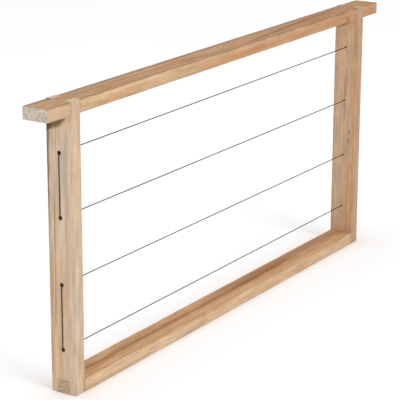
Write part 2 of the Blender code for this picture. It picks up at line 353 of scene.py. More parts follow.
RIM_WIDTH = 1.0
RIM_STRENGTH = 0.85

# End grain: shade of the earlywood, and how much darker the latewood is
END_SHADE = 1.06
END_RING_DARKENING = -0.42

# Height of each layer as a share of WOOD_RELIEF, which is in metres
WOOD_RELIEF = 0.00016
FIBRE_HEIGHT = 0.5
RING_HEIGHT = 0.35
STRAND_HEIGHT = 0.4
PORE_HEIGHT = 1.4

# Roughness of plain wood, and what each layer adds to it
WOOD_ROUGHNESS = 0.58
STRAND_ROUGHNESS = 0.14
LATEWOOD_ROUGHNESS = -0.08
END_ROUGHNESS = 0.15
WOOD_SPECULAR = 0.3


class Streak(NamedTuple):
    """One coloured streak along the grain of one face: grain colour, or painted shade along an
    edge.
    """

    face: tuple  # the way the face points
    across: int  # the axis that its width lies on
    centre: float  # where its line begins on that axis
    slope: float  # how far the line climbs for each millimetre along the grain
    start: float  # where it starts and stops along the grain
    stop: float
    fade: float  # half the length of its soft ends
    width: float  # half its width
    wobble: float
    strength: float
    tone: tuple


class Spot(NamedTuple):
    """One soft patch: a knot, a pitch pocket, a stain, or painted shadow in the corner under a
    joint.
    """

    face: tuple
    centre: tuple
    radii: tuple
    core: float  # the share of its radius that has its full strength
    strength: float
    tone: tuple


class Tones(NamedTuple):
    """The colours of one bar."""

    early: tuple
    late: tuple
    warm: tuple
    pale: tuple
    ends: tuple
    # rims is the tone of the wire holes' walls and rims; where it is dark it is painted shade
    rims: tuple


class Stick:
    """Where a shader stands on one bar: object coordinates in millimetres, the grain's
    direction, and noise fields stretched along it."""

    def __init__(self, graph, along, low, high, seed):
        self.graph = graph
        self.along = along
        self.axes = (along, (along + 1) % 3, (along + 2) % 3)
        self.middle = (np.array(low) + np.array(high)) / 2
        self.half = (np.array(high) - np.array(low)) / 2
        self.place = graph.coordinates(1 / MM)
        self.parts = graph.split(self.place)
        turned = graph.join(*(self.parts[axis] for axis in self.axes))
        self.local = graph.shifted(turned, (seed * 131.0, seed * 17.0, seed * 7.0))

    def grain(self, lengthwise, across, detail, roughness=0.5, offset=0.0):
        """Noise whose features are stretched along the grain. The first two numbers are
        features per millimetre along the grain and across it."""
        stretched = self.graph.times(self.local, (lengthwise, across, across))
        if offset:
            stretched = self.graph.shifted(stretched, (offset, offset * 0.7, offset * 0.3))
        return self.graph.noise(stretched, 1.0, detail, roughness)

    def from_middle(self, which, offset=0.0):
        """Distance along one of the bar's own axes, where 0 is its length."""
        axis = self.axes[which]
        return self.graph.math("SUBTRACT", self.parts[axis], self.middle[axis] + offset)

    def end_faces(self):
        """1 on both sawn ends, 0 on the long faces."""
        unit = [0.0, 0.0, 0.0]
        unit[self.along] = 1.0
        far_end = self.graph.facing(tuple(unit))
        near_end = self.graph.facing(tuple(-v for v in unit))
        return self.graph.math("ADD", far_end, near_end, clamp=True)


def growth_rings(graph, stick, pith, ring):
    """Latewood between 0 and 1. The rings run round a pith line beside the bar, so that
    every face and both ends cut through the same grain. pith is where that line passes,
    in millimetres from the bar's middle, and ring is one year's growth."""
    reach = graph.hypotenuse(stick.from_middle(1, pith[0]), stick.from_middle(2, pith[1]))
    reach = graph.math("MULTIPLY_ADD", stick.grain(0.005, 0.02, 2.0), SLOW_BEND, reach)
    reach = graph.math("MULTIPLY_ADD", stick.grain(0.025, 0.14, 3.0), QUICK_BEND, reach)
    years = graph.math("DIVIDE", reach, ring)
    within = graph.math("FRACT", years)
    year = graph.math("FLOOR", years)
    weight = graph.make("ShaderNodeTexWhiteNoise", {"W": year}, noise_dimensions="1D").outputs[0]
    weight = graph.math("MULTIPLY_ADD", weight, 1 - WEAKEST_YEAR, WEAKEST_YEAR)
    rise = graph.step(within, *LATEWOOD_RISE)
    fall = graph.step(within, *LATEWOOD_FALL, 1.0, 0.0)
    fading = graph.step(stick.grain(0.014, 0.10, 2.0, offset=31.0), 0.34, 0.62, 0.10, 1.0)
    return graph.product(rise, fall, weight, fading)


def add_streaks(graph, stick, colour, streaks):
    """Coloured streaks along the grain, with ragged sides."""
    wander = graph.math("SUBTRACT", stick.grain(0.022, 0.0, 3.0), 0.5)
    ragged = stick.grain(0.05, 0.35, 3.0, 0.6)
    run = stick.parts[stick.along]
    for streak in streaks:
        start, stop, fade, width = streak.start, streak.stop, streak.fade, streak.width
        line = graph.math("SUBTRACT", run, start)
        line = graph.math("MULTIPLY_ADD", line, streak.slope, streak.centre)
        line = graph.math("MULTIPLY_ADD", wander, streak.wobble, line)
        away = graph.math("ABSOLUTE", graph.math("SUBTRACT", stick.parts[streak.across], line))
        ragged_width = graph.step(ragged, 0.25, 0.75, width * 0.55, width * 1.45)
        beside = graph.step(graph.math("DIVIDE", away, ragged_width), 0.0, 1.0, 1.0, 0.0)
        begun = graph.step(run, start - fade, start + fade)
        not_over = graph.step(run, stop - fade, stop + fade, 1.0, 0.0)
        mask = graph.product(beside, begun, not_over, graph.facing(streak.face), streak.strength)
        colour = graph.mix(mask, colour, streak.tone)
    return colour


def add_spots(graph, stick, colour, spots):
    """Soft patches with ragged outlines."""
    ragged = graph.math("SUBTRACT", stick.grain(0.09, 0.5, 3.0, 0.6), 0.5)
    for spot in spots:
        shift = graph.shifted(stick.place, tuple(-v for v in spot.centre))
        shift = graph.times(shift, tuple(1 / r for r in spot.radii))
        length = graph.make("ShaderNodeVectorMath", {0: shift}, operation="LENGTH")
        size = graph.math("MULTIPLY_ADD", ragged, 0.7 - 0.6 * spot.core, length.outputs["Value"])
        inside = graph.step(size, spot.core, 1.0, 1.0, 0.0)
        mask = graph.product(inside, graph.facing(spot.face), spot.strength)
        colour = graph.mix(mask, colour, spot.tone)
    return colour


def add_arris_wear(graph, stick, colour, pale):
    """Arrises rubbed pale in places and dirty in others."""
    near = []
    for which in (1, 2):
        outward = graph.math("ABSOLUTE", stick.from_middle(which))
        near.append(graph.math("SUBTRACT", stick.half[stick.axes[which]], outward))
    edge = graph.step(graph.hypotenuse(*near), *ARRIS_BAND, 1.0, 0.0)
    rubbed = stick.grain(0.06, 0.2, 3.0)
    worn_here = graph.step(rubbed, 0.54, 0.7, 0.0, RUBBED_STRENGTH)
    colour = graph.mix(graph.product(edge, worn_here), colour, pale)
    dirty_here = graph.step(rubbed, 0.3, 0.6, *GRIME_STRENGTH)
    return graph.mix(graph.product(edge, dirty_here), colour, graph.tint(colour, GRIME))


def add_hole_rims(graph, stick, colour, holes, tone):
    """The wire holes' walls and soft rims round them, mixed towards one tone: painted shade where
    that tone is dark, as on the left bar.
    """
    for height in holes:
        up = graph.math("SUBTRACT", stick.parts[Z], height)
        away = graph.hypotenuse(up, stick.parts[Y])
        rim = graph.step(away, HOLE_RADIUS, HOLE_RADIUS + RIM_WIDTH, RIM_STRENGTH, 0.0)
        colour = graph.mix(rim, colour, tone)
    return colour


def grown_wood(graph, stick, latewood, tones):
    """Rings, and large warm, pale and darker patches."""
    colour = graph.mix(graph.product(latewood, LATEWOOD_STRENGTH), tones.early, tones.late)
    warmth = graph.step(stick.grain(0.011, 0.16, 4.0, 0.55), 0.42, 0.66)
    colour = graph.mix(graph.product(warmth, WARM_STRENGTH), colour, tones.warm)
    paleness = graph.step(stick.grain(0.015, 0.13, 4.0, 0.55, offset=9.0), 0.46, 0.70)
    colour = graph.mix(graph.product(paleness, PALE_STRENGTH), colour, tones.pale)
    blotch = graph.step(stick.grain(0.045, 0.22, 3.0, 0.6, offset=57.0), 0.3, 0.7, *BLOTCH_SHADES)
    return graph.tint(colour, blotch)


def fibre_shade(graph, stick, fibre, strand):
    """Fine contrast of the fibres, and small dark resin canals."""
    fine = graph.step(fibre, 0.30, 0.70, *FIBRE_SHADES)
    broad = graph.step(strand, 0.25, 0.75, *STRAND_SHADES)
    canals = graph.step(stick.grain(0.16, 3.6, 0.0), 0.68, 0.78, 1.0, CANAL_SHADE)
    return graph.product(fine, broad, canals)


def sawn_end(graph, colour, latewood, mottle, pores, tone):
    """End grain: greyer, mottled and darker in the latewood."""
    blotches = graph.step(mottle, 0.34, 0.66, *MOTTLE_SHADES)
    specks = graph.step(pores, 0.3, 0.7, *PORE_SHADES)
    rings = graph.math("MULTIPLY_ADD", latewood, END_RING_DARKENING, END_SHADE)
    grey = graph.mix(SAWN_STRENGTH, colour, tone)
    return graph.tint(grey, graph.product(blotches, specks, rings))


def pine(name, along, low, high, pith, ring, tones, seed, faces, streaks, spots, holes=()):
    """Planed softwood for one bar. faces are pairs of a direction and the tint of the
    faces that point that way: painted shading, darker or paler by how the light falls on them."""
    graph = Graph(name)
    stick = Stick(graph, along, low, high, seed)
    latewood = growth_rings(graph, stick, pith, ring)
    fibre = stick.grain(0.05, 3.2, 5.0, 0.7)
    strand = stick.grain(0.016, 0.7, 3.0, 0.6)
    mottle = stick.grain(0.3, 0.5, 4.0, 0.65)
    pores = stick.grain(0.8, 2.2, 3.0, 0.7)
    end = stick.end_faces()

    colour = grown_wood(graph, stick, latewood, tones)
    # Painted shading: faces darkened or tinted by the way they point, as the light falls on them
    for direction, painted_face_shading in faces:
        colour = graph.mix(graph.facing(direction), colour, graph.tint(colour, painted_face_shading))
    colour = add_streaks(graph, stick, colour, streaks)
    colour = add_spots(graph, stick, colour, spots)
    colour = graph.tint(colour, fibre_shade(graph, stick, fibre, strand))
    sawn = sawn_end(graph, colour, latewood, mottle, pores, tones.ends)
    colour = graph.mix(end, colour, sawn)
    colour = add_arris_wear(graph, stick, colour, tones.pale)
    colour = add_hole_rims(graph, stick, colour, holes, tones.rims)

    planed = graph.product(latewood, RING_HEIGHT)
    planed = graph.math("MULTIPLY_ADD", fibre, FIBRE_HEIGHT, planed)
    planed = graph.math("MULTIPLY_ADD", strand, STRAND_HEIGHT, planed)
    rough_end = graph.product(end, graph.math("MULTIPLY_ADD", pores, PORE_HEIGHT, mottle))
    height = graph.math("ADD", planed, rough_end)
    gloss = graph.math("MULTIPLY_ADD", strand, STRAND_ROUGHNESS, WOOD_ROUGHNESS)
    gloss = graph.math("MULTIPLY_ADD", latewood, LATEWOOD_ROUGHNESS, gloss)
    gloss = graph.math("MULTIPLY_ADD", end, END_ROUGHNESS, gloss)
    return graph.finish(colour, gloss, specular=WOOD_SPECULAR, height=height, depth=WOOD_RELIEF)


# ---------------------------------------------------------------- bars

# Outline and length of a stick, in millimetres
SPAN = 4.0  # widest face across the grain
STATION_STEP = 4.0  # longest face along it
SUPPORT_LOOP = 0.35  # narrow faces beside each arris
ARRIS_POINTS = 5
END_STEPS = 4

# Wear of the arrises, as shares of their radius
SLOW_WEAR = 0.45
NICK_WEAR = 2.2
NICK_LEVEL = 0.38
LEAST_WEAR = -0.4
MOST_WEAR = 1.6
SINK = 0.05  # how far the planed faces sink and wave, in millimetres

HORIZONTAL_ARRIS = 0.45
UPRIGHT_ARRIS = 0.5
TOP_BAR_END = 0.5
BOTTOM_BAR_END = 0.4
SIDE_BAR_END = 0.7

TOP_SEED = 1
BOTTOM_SEED = 2
LEFT_SEED = 3
RIGHT_SEED = 4

# Sides of the round cutters
WIRE_HOLE_SIDES = 28
WIRE_NAIL_HOLE_SIDES = 16
JOINT_NAIL_HOLE_SIDES = 14
JOINT_NAIL_SEAT_SIDES = 24

# Clean-up after the cuts, in metres, and the angle from which an edge stays crisp
WELD_DISTANCE = 2e-6
SLIVER_LENGTH = 1e-6
CRISP_DEGREES = 35


def section(half_a, half_b, radius, spans_a, spans_b):
    """Outline of a stick with round corners, as points and their outward directions."""
    points = []
    outward = []
    corners = ((1, 1, 0.0), (-1, 1, 90.0), (-1, -1, 180.0), (1, -1, 270.0))
    for index, (sign_a, sign_b, start) in enumerate(corners):
        centre = np.array((sign_a * (half_a - radius), sign_b * (half_b - radius)))
        for step in range(ARRIS_POINTS):
            angle = math.radians(start + 90.0 * step / (ARRIS_POINTS - 1))
            direction = np.array((math.cos(angle), math.sin(angle)))
            points.append(centre + radius * direction)
            outward.append(direction)
        next_a, next_b, _ = corners[(index + 1) % 4]
        after = np.array((next_a * (half_a - radius), next_b * (half_b - radius)))
        direction = outward[-1]
        flat_start = centre + radius * direction
        flat_end = after + radius * direction
        spans = spans_a if abs(direction[1]) > 0.5 else spans_b
        support = SUPPORT_LOOP / max(np.linalg.norm(flat_end - flat_start), SUPPORT_LOOP * 3)
        shares = [support] + [i / spans for i in range(1, spans)] + [1 - support]
        for share in shares:
            points.append(flat_start + (flat_end - flat_start) * share)
            outward.append(direction)
    return np.array(points), np.array(outward)


def stations(low, high, end_radius):
    """Places along a bar, and how far its outline is drawn in there to round the ends."""
    rounded = []
    for step in range(END_STEPS):
        angle = math.radians(90.0 * step / (END_STEPS - 1))
        rounded.append((end_radius * (1 - math.cos(angle)), end_radius * (1 - math.sin(angle))))
    straight = high - low - 2 * end_radius
    count = int(straight / STATION_STEP)
    places = [(low + into, inset) for into, inset in rounded]
    places += [(low + end_radius + straight * index / count, 0.0) for index in range(1, count)]
    places += [(high - into, inset) for into, inset in rounded[::-1]]
    return places


def wear(seed, station, corner):
    """How much rounder than new one arris is at one place along the bar."""
    slow = noise.noise(Vector((station * 0.05, corner * 7.3, seed * 3.1)))
    nick = noise.noise(Vector((station * 0.19, corner * 11.7 + 40.0, seed * 5.3)))
    amount = SLOW_WEAR * slow + NICK_WEAR * max(0.0, nick - NICK_LEVEL)
    return max(LEAST_WEAR, min(amount, MOST_WEAR))


def bar_ring(place, inset, axes, middle, halves, arris, seed):
    """One outline of a bar in metres, worn at its corners and gently waved on its faces."""
    half_a, half_b = halves
    spans = [max(2, round(half * 2 / SPAN)) for half in halves]
    outline, outward = section(half_a - inset, half_b - inset, arris, *spans)
    rounder, _ = section(half_a - inset, half_b - inset, arris * 2, *spans)
    ring = []
    for point, direction, worn_point in zip(outline, outward, rounder):
        corner = (point[0] > 0) * 2 + (point[1] > 0)
        spot = point + (worn_point - point) * wear(seed, place, corner)
        wave = noise.noise(Vector((place * 0.02, point[0] * 0.08 + seed, point[1] * 0.08)))
        spot = spot - direction * (SINK + SINK * wave)
        where = [0.0, 0.0, 0.0]
        where[axes[0]] = place
        where[axes[1]] = middle[axes[1]] + spot[0]
        where[axes[2]] = middle[axes[2]] + spot[1]
        ring.append([v * MM for v in where])
    return ring


def lofted(rings):
    """A closed shape through rings of points in metres, each with as many points."""
    shape = bmesh.new()
    rows = [[shape.verts.new(where) for where in ring] for ring in rings]
    count = len(rows[0])
    for near, far in zip(rows, rows[1:]):
        for index in range(count):
            after = (index + 1) % count
            shape.faces.new((near[index], near[after], far[after], far[index]))
    shape.faces.new(rows[0][::-1])
    shape.faces.new(rows[-1])
    bmesh.ops.recalc_face_normals(shape, faces=shape.faces)
    return shape


def mesh_of(name, shape):
    mesh = bpy.data.meshes.new(name)
    shape.to_mesh(mesh)
    shape.free()
    return mesh


def bar_mesh(name, along, low, high, arris, end_radius, seed):
    """A planed stick between two corners, with eased arrises that vary along it."""
    axes = (along, (along + 1) % 3, (along + 2) % 3)
    middle = (low + high) / 2
    halves = [(high[axis] - low[axis]) / 2 for axis in axes[1:]]
    rings = []
    for place, inset in stations(low[along], high[along], end_radius):
        rings.append(bar_ring(place, inset, axes, middle, halves, arris, seed))
    return mesh_of(name, lofted(rings))


class Carver:
    """Cuts a bar with helper shapes and leaves one finished mesh."""

    def __init__(self, name, mesh):
        self.bar = bpy.data.objects.new(name, mesh)
        bpy.context.scene.collection.objects.link(self.bar)
        self.cutters = []

    def cut(self, shape):
        cutter = bpy.data.objects.new("cutter", mesh_of("cutter", shape))
        bpy.context.scene.collection.objects.link(cutter)
        cutter.hide_render = True
        self.cutters.append(cutter)
        boolean = self.bar.modifiers.new("cut", "BOOLEAN")
        boolean.operation = "DIFFERENCE"
        boolean.solver = "EXACT"
        boolean.object = cutter

    def box(self, low, high):
        shape = bmesh.new()
        bmesh.ops.create_cube(shape, size=1.0)
        size = (Vector(high) - Vector(low)) * MM
        bmesh.ops.scale(shape, vec=size, verts=shape.verts)
        bmesh.ops.translate(shape, vec=(Vector(high) + Vector(low)) / 2 * MM, verts=shape.verts)
        bmesh.ops.recalc_face_normals(shape, faces=shape.faces)
        self.cut(shape)

    def turned(self, stops, axis, sides):
        """A round cutter about an axis: stops are pairs of a centre and a radius."""
        rings = []
        for centre, radius in stops:
            ring = []
            for side in range(sides):
                angle = 2 * math.pi * side / sides
                where = Vector(centre)
                where[(axis + 1) % 3] += radius * math.cos(angle)
                where[(axis + 2) % 3] += radius * math.sin(angle)
                ring.append(where * MM)
            rings.append(ring)
        self.cut(lofted(rings))

    def done(self, material):
        depsgraph = bpy.context.evaluated_depsgraph_get()
        mesh = bpy.data.meshes.new_from_object(self.bar.evaluated_get(depsgraph))
        self.bar.modifiers.clear()
        self.bar.data = mesh
        for cutter in self.cutters:
            bpy.data.objects.remove(cutter, do_unlink=True)
        tidy = bmesh.new()
        tidy.from_mesh(mesh)
        bmesh.ops.remove_doubles(tidy, verts=tidy.verts, dist=WELD_DISTANCE)
        bmesh.ops.dissolve_degenerate(tidy, edges=tidy.edges, dist=SLIVER_LENGTH)
        tidy.to_mesh(mesh)
        tidy.free()
        mesh.materials.clear()
        mesh.materials.append(material)
        mesh.shade_smooth()
        mesh.set_sharp_from_angle(angle=math.radians(CRISP_DEGREES))
        return self.bar


def finish_piece(piece, node):
    """Puts a finished piece in place of a CAD node, on the one body there is."""
    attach(piece, "root")
    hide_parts(node)


def joint_nail_holes(carver, sign, height, with_seat):
    """The hole of one joint nail, driven from the back, and the seat of its head."""
    past_back = HALF_DEPTH + OVERCUT
    end = HALF_DEPTH - JOINT_NAIL_HEAD_DEPTH - JOINT_NAIL_LENGTH - GAP
    shank = JOINT_NAIL_RADIUS + GAP
    x = sign * SIDE_MIDDLE
    stops = (((x, end, height), shank), ((x, past_back, height), shank))
    carver.turned(stops, Y, JOINT_NAIL_HOLE_SIDES)
    if with_seat:
        seat = JOINT_NAIL_HEAD_RADIUS + GAP
        bottom = HALF_DEPTH - JOINT_NAIL_HEAD_DEPTH - GAP
        stops = (((x, bottom, height), seat), ((x, past_back, height), seat))
        carver.turned(stops, Y, JOINT_NAIL_SEAT_SIDES)


def make_top_bar(material):
    name = "top_bar_pine"
    mesh = bar_mesh(name, X, TOP_LOW, TOP_HIGH, HORIZONTAL_ARRIS, TOP_BAR_END, TOP_SEED)
    carver = Carver(name, mesh)
    waist = TONGUE / 2 - FIT
    below = UNDERSIDE - OVERCUT
    above = TOP_FACE + OVERCUT
    for sign in (-1, 1):
        low_x, high_x = sorted((sign * (INNER - FIT), sign * (OUTER + FIT)))
        carver.box((low_x, -HALF_DEPTH - OVERCUT, below), (high_x, -waist, above))
        carver.box((low_x, waist, below), (high_x, HALF_DEPTH + OVERCUT, above))
        carver.box((low_x, -HALF_DEPTH, below), (high_x, HALF_DEPTH, UNDERSIDE + FIT))
        joint_nail_holes(carver, sign, TOP_JOINT_HEIGHT, False)
    finish_piece(carver.done(material), "top_bar")


def make_bottom_bar(material):
    name = "bottom_bar_pine"
    mesh = bar_mesh(
        name, X, BOTTOM_LOW, BOTTOM_HIGH, HORIZONTAL_ARRIS, BOTTOM_BAR_END, BOTTOM_SEED
    )
    carver = Carver(name, mesh)
    tenon = TONGUE / 2 - FIT
    above = BOTTOM_TOP + OVERCUT
    for sign in (-1, 1):
        low_x, high_x = sorted((sign * (INNER - FIT), sign * (OUTER + OVERCUT)))
        carver.box((low_x, -HALF_DEPTH - OVERCUT, -OVERCUT), (high_x, -tenon, above))
        carver.box((low_x, tenon, -OVERCUT), (high_x, HALF_DEPTH + OVERCUT, above))
        joint_nail_holes(carver, sign, BOTTOM_JOINT_HEIGHT, False)
    finish_piece(carver.done(material), "bottom_bar")


def wire_nail_heights():
    """The upper wire nail's height and the lower one's."""
    return RIGHT_HOLES[0] + WIRE_NAIL_FROM_HOLE, RIGHT_HOLES[-1] - WIRE_NAIL_FROM_HOLE


def make_side_bar(side, sign, low, high, holes, seed, material):
    name = f"side_bar_{side}_pine"
    carver = Carver(name, bar_mesh(name, Z, low, high, UPRIGHT_ARRIS, SIDE_BAR_END, seed))
    out_low, out_high = low[X] - OVERCUT, high[X] + OVERCUT
    half = TONGUE / 2
    carver.box((out_low, -half, UNDERSIDE), (out_high, half, high[Z] + OVERCUT))
    carver.box((out_low, -half, -OVERCUT), (out_high, half, BOTTOM_TOP + FIT))
    for height in holes:
        stops = (
            (INNER - HOLE_OVERRUN, INNER_HOLE_RADIUS),
            (INNER + NARROW_HOLE_RUN, INNER_HOLE_RADIUS),
            (OUTER - COUNTERSINK_HALF_DEPTH, HOLE_RADIUS),
            (OUTER + COUNTERSINK_HALF_DEPTH, HOLE_RADIUS + COUNTERSINK_FLARE),
        )
        stops = [((sign * out, 0.0, height), radius) for out, radius in stops]
        carver.turned(stops, X, WIRE_HOLE_SIDES)
    joint_nail_holes(carver, sign, TOP_JOINT_HEIGHT, True)
    joint_nail_holes(carver, sign, BOTTOM_JOINT_HEIGHT, True)
    if side == "right":
        radius = WIRE_NAIL_RADIUS + GAP
        end = OUTER - WIRE_NAIL_IN_WOOD - GAP
        for height in wire_nail_heights():
            stops = (((end, 0.0, height), radius), ((OUTER + OVERCUT, 0.0, height), radius))
            carver.turned(stops, X, WIRE_NAIL_HOLE_SIDES)
    finish_piece(carver.done(material), f"side_bar_{side}")


# ---------------------------------------------------------------- wire and nails

# The wire's bends, turns and loose tail, in millimetres
WIRE_BEND = 1.2
WIRE_BEND_STEPS = 6
NAIL_TURNS = 2.0
NAIL_TURN_PITCH = 0.75
NAIL_TURN_POINTS = 14
WIRE_TAIL = 2.2
TAIL_DRIFT = Vector((0.1, 0.35, 0.0))
WIRE_BEVEL_STEPS = 3
SKIN = OUTER + WIRE_RADIUS + WIRE_CLEARANCE

# The corners that the wire turns, from the upper nail to the lower: which bar, which of
# its holes, and 1 where the wire outside that hole lies above it or -1 where below
WIRE_CORNERS = (
    (1, 0, 1),
    (-1, 0, -1),
    (-1, 1, 1),
    (1, 1, -1),
    (1, 2, 1),
    (-1, 2, -1),
    (-1, 3, 1),
    (1, 3, -1),
)

TARNISH = srgb(96, 66, 45)
STEEL_RELIEF = 0.00002  # metres


def corner(sign, height, outer_run):
    """The bend from inside a hole out on to the bar's face. outer_run is 1 where the wire
    goes on upwards outside, and -1 where it goes on downwards."""
    points = []
    for step in range(WIRE_BEND_STEPS + 1):
        angle = math.radians(90.0 / WIRE_BEND_STEPS * step)
        out = SKIN - WIRE_BEND * (1 - math.sin(angle))
        climb = outer_run * WIRE_BEND * (1 - math.cos(angle))
        points.append(Vector((sign * out, 0.0, height + climb)))
    return points


def nail_turns(height, sense):
    """Close turns round a wire nail, from the loose tail in to the face of the bar."""
    radius = WIRE_NAIL_RADIUS + WIRE_RADIUS + WIRE_CLEARANCE
    points = []
    for step in range(int(NAIL_TURNS * NAIL_TURN_POINTS), -1, -1):
        turned = 2 * math.pi * step / NAIL_TURN_POINTS
        out = SKIN + NAIL_TURN_PITCH * step / NAIL_TURN_POINTS
        climb = sense * radius * math.sin(turned)
        points.append(Vector((out, radius * math.cos(turned), height + climb)))
    tail = (points[0] - points[1]).normalized() * WIRE_TAIL + TAIL_DRIFT
    return [points[0] + tail] + points


def wire_route():
    """The wire's centre line in millimetres: wound on the upper nail, back and forth
    through every hole, pressed to the wood outside, and wound on the lower nail."""
    upper, lower = wire_nail_heights()
    route = nail_turns(upper, 1.0)
    for sign, index, outer_run in WIRE_CORNERS:
        holes = LEFT_HOLES if sign < 0 else RIGHT_HOLES
        bend = corner(sign, holes[index], outer_run)
        route += bend[::-1] if outer_run > 0 else bend
    return route + nail_turns(lower, -1.0)[::-1]


def make_wire(material):
    route = wire_route()
    curve = bpy.data.curves.new("wire_path", "CURVE")
    curve.dimensions = "3D"
    curve.bevel_depth = WIRE_RADIUS * MM
    curve.bevel_resolution = WIRE_BEVEL_STEPS
    curve.use_fill_caps = True
    spline = curve.splines.new("POLY")
    spline.points.add(len(route) - 1)
    for point, place in zip(spline.points, route):
        point.co = (*(place * MM), 1.0)
    path = bpy.data.objects.new("wire_path", curve)
    bpy.context.scene.collection.objects.link(path)
    depsgraph = bpy.context.evaluated_depsgraph_get()
    mesh = bpy.data.meshes.new_from_object(path.evaluated_get(depsgraph))
    bpy.data.objects.remove(path, do_unlink=True)
    mesh.materials.clear()
    mesh.materials.append(material)
    mesh.shade_smooth()
    wire = bpy.data.objects.new("strung_wire", mesh)
    bpy.context.scene.collection.objects.link(wire)
    finish_piece(wire, "frame_wire")


def steel(name, base, dark, rough, rust):
    """Dull steel with darker patches, small specks and a little brown tarnish."""
    graph = Graph(name)
    place = graph.coordinates(1 / MM)
    patch = graph.noise(place, 0.35, 3.0)
    speck = graph.noise(place, 2.4, 4.0, 0.65)
    colour = graph.mix(graph.step(patch, 0.38, 0.66), base, dark)
    rusty = graph.product(graph.step(speck, 0.56, 0.74), rust)
    colour = graph.mix(rusty, colour, TARNISH)
    gloss = graph.step(speck, 0.3, 0.7, rough - 0.08, rough + 0.14)
    return graph.finish(colour, gloss, metallic=1.0, height=speck, depth=STEEL_RELIEF)


def dress_nails(nail_steel):
    """A better material in the slots of the CAD's own nails."""
    for node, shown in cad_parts.items():
        if "nail" in node:
            for slot in shown.material_slots:
                slot.link = "OBJECT"
                slot.material = nail_steel


# ---------------------------------------------------------------- wood of each bar

WIRE_STEEL = (srgb(70, 70, 74), srgb(48, 48, 52))
WIRE_ROUGHNESS = 0.42
WIRE_RUST = 0.30
NAIL_STEEL = (srgb(150, 148, 146), srgb(104, 100, 96))
NAIL_ROUGHNESS = 0.42
NAIL_RUST = 0.55


def top_bar_pine():
    streaks = (
        Streak(UP, Y, 0.0, 0.0, 60.0, 250.0, 90.0, 30.0, 0.0, 0.45, srgb(150, 98, 58)),
        Streak(UP, Y, 2.2, -0.020, -205.0, -40.0, 18.0, 1.6, 2.5, 0.55, srgb(134, 92, 62)),
        Streak(UP, Y, -3.5, -0.035, -60.0, 30.0, 20.0, 1.8, 2.0, 0.66, srgb(138, 92, 60)),
        Streak(UP, Y, -5.9, 0.077, 28.0, 170.0, 16.0, 2.4, 2.0, 0.72, srgb(132, 84, 54)),
        Streak(UP, Y, 6.4, 0.004, -238.0, 40.0, 30.0, 1.6, 4.0, 0.40, srgb(146, 108, 80)),
        # Painted shade along the back edge of the top face; the next streak darkens its front
        # edge
        Streak(UP, Y, 10.8, 0.0, -240.0, 240.0, 5.0, 5.6, 0.5, 0.80, srgb(132, 114, 96)),
        Streak(UP, Y, -10.8, 0.0, -240.0, 240.0, 5.0, 3.6, 0.5, 0.75, srgb(132, 92, 60)),
        Streak(FRONT, Z, 211.0, 0.0, -70.0, 250.0, 60.0, 14.0, 0.0, 0.45, srgb(184, 132, 90)),
        Streak(FRONT, Z, 211.0, 0.0, 120.0, 250.0, 90.0, 14.0, 0.0, 0.45, srgb(172, 114, 70)),
        Streak(FRONT, Z, 209.5, 0.010, -40.0, 120.0, 30.0, 3.0, 4.0, 0.55, srgb(190, 128, 80)),
        Streak(FRONT, Z, 210.0, -0.02, -200.0, -130.0, 20.0, 1.6, 3.0, 0.35, srgb(200, 144, 92)),
        Streak(FRONT, Z, 211.0, 0.0, -250.0, -208.0, 10.0, 14.0, 0.0, 0.40, srgb(214, 188, 154)),
    )
    spots = (
        Spot(FRONT, (184.5, -HALF_DEPTH, 209.4), (4.5, 5.0, 4.2), 0.1, 0.75, srgb(136, 90, 56)),
        Spot(FRONT, (30.0, -HALF_DEPTH, 210.5), (26.0, 5.0, 4.5), 0.1, 0.40, srgb(184, 118, 70)),
        Spot(FRONT, (98.0, -HALF_DEPTH, 208.8), (20.0, 5.0, 3.6), 0.1, 0.40, srgb(180, 114, 68)),
        Spot(FRONT, (226.0, -HALF_DEPTH, 211.0), (12.0, 5.0, 4.5), 0.1, 0.40, srgb(170, 110, 68)),
    )
    # Painted shading by the way each face points
    faces = ((UP, (0.70, 0.60, 0.51)), (FRONT, (0.92, 0.90, 0.86)))
    tones = Tones(
        early=srgb(216, 183, 146),
        late=srgb(184, 132, 84),
        warm=srgb(208, 156, 106),
        pale=srgb(222, 196, 164),
        ends=srgb(206, 198, 186),
        rims=srgb(120, 90, 64),
    )
    return pine(
        "top_bar_pine_wood",
        X,
        TOP_LOW,
        TOP_HIGH,
        pith=(12.0, -45.0),
        ring=3.0,
        tones=tones,
        seed=TOP_SEED,
        faces=faces,
        streaks=streaks,
        spots=spots,
    )


def bottom_bar_pine():
    streaks = (
        Streak(UP, Y, -8.2, 0.0, -210.0, 210.0, 20.0, 5.0, 1.5, 0.55, srgb(204, 164, 122)),
        Streak(UP, Y, 0.6, 0.0, -202.0, 116.0, 14.0, 3.6, 2.2, 0.82, srgb(150, 98, 56)),
        Streak(UP, Y, 1.2, 0.0, 18.0, 96.0, 14.0, 4.8, 2.0, 0.62, srgb(136, 84, 44)),
        Streak(UP, Y, 5.0, 0.0, 0.0, 204.0, 50.0, 8.5, 3.0, 0.60, srgb(150, 94, 56)),
        Streak(UP, Y, 11.0, 0.0, -204.0, 204.0, 5.0, 1.6, 0.5, 0.60, srgb(116, 84, 60)),
        Streak(FRONT, Z, 5.0, 0.0, 60.0, 204.0, 60.0, 9.0, 0.0, 0.30, srgb(190, 146, 106)),
    )
    spots = (
        Spot(UP, (190.0, -6.0, BOTTOM_TOP), (12.0, 3.0, 5.0), 0.1, 0.4, srgb(206, 172, 136)),
    )
    # Painted shading by the way each face points
    faces = ((UP, (0.75, 0.62, 0.49)), (FRONT, (0.90, 0.89, 0.87)))
    tones = Tones(
        early=srgb(222, 189, 153),
        late=srgb(190, 140, 92),
        warm=srgb(212, 162, 114),
        pale=srgb(226, 200, 170),
        ends=srgb(186, 160, 134),
        rims=srgb(120, 90, 64),
    )
    return pine(
        "bottom_bar_pine_wood",
        X,
        BOTTOM_LOW,
        BOTTOM_HIGH,
        pith=(-10.0, -38.0),
        ring=3.4,
        tones=tones,
        seed=BOTTOM_SEED,
        faces=faces,
        streaks=streaks,
        spots=spots,
    )


